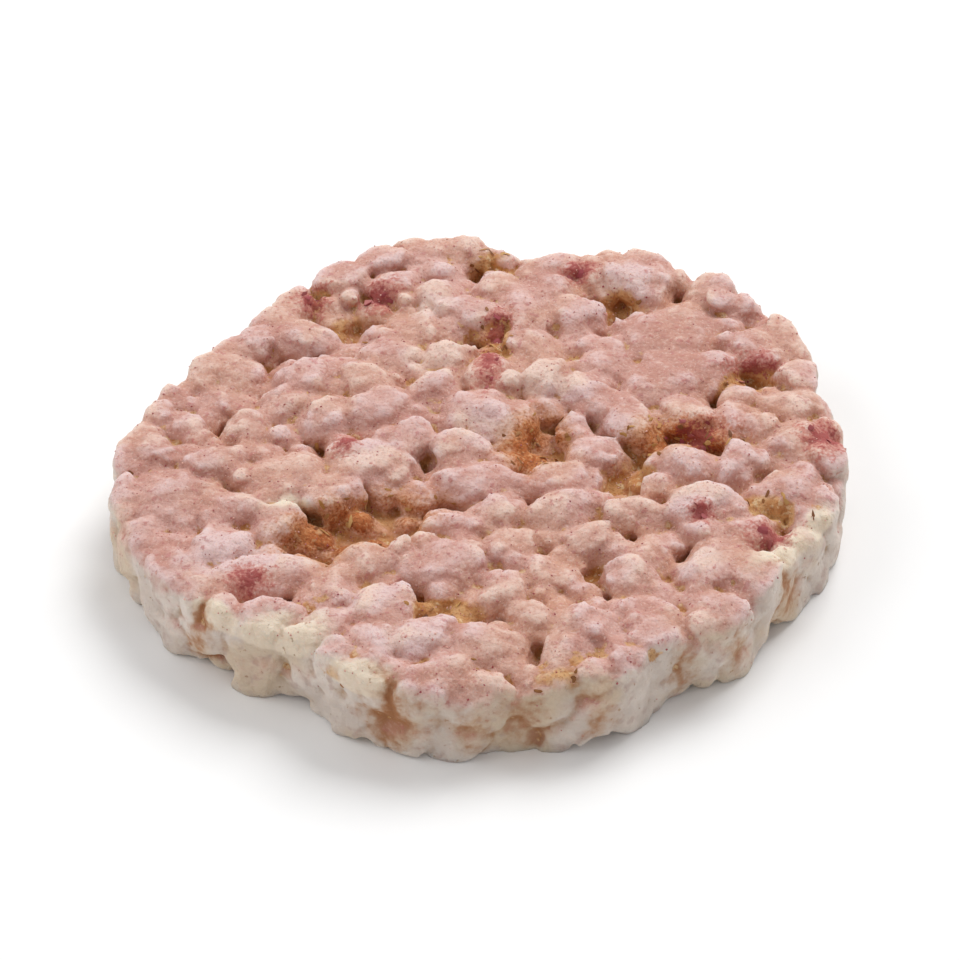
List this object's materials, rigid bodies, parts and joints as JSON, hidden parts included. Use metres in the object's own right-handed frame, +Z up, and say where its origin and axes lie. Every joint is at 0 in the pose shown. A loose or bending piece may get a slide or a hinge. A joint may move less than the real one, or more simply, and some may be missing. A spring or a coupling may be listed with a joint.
{
  "type": "puffed rice cake",
  "caption": "Small round puffed rice cake with a knobbly top dusted with pink fruit powder, cream sides and bran in its hollows.",
  "frame": {"origin": "under the middle of the cake, at the centre of its box's lowest plane", "axes": "+Z up through the cake's thickness, dusted side up; +Y towards the side with the notch; +X to the right as seen from -Y"},
  "size_m": [0.0476, 0.047, 0.0066],
  "materials": {
    "rice_cake": "matt, dry and porous, dusted with pink fruit powder"
  },
  "bodies": {
    "root": {"rice_cake": "rice_cake"}
  },
  "joints": []
}
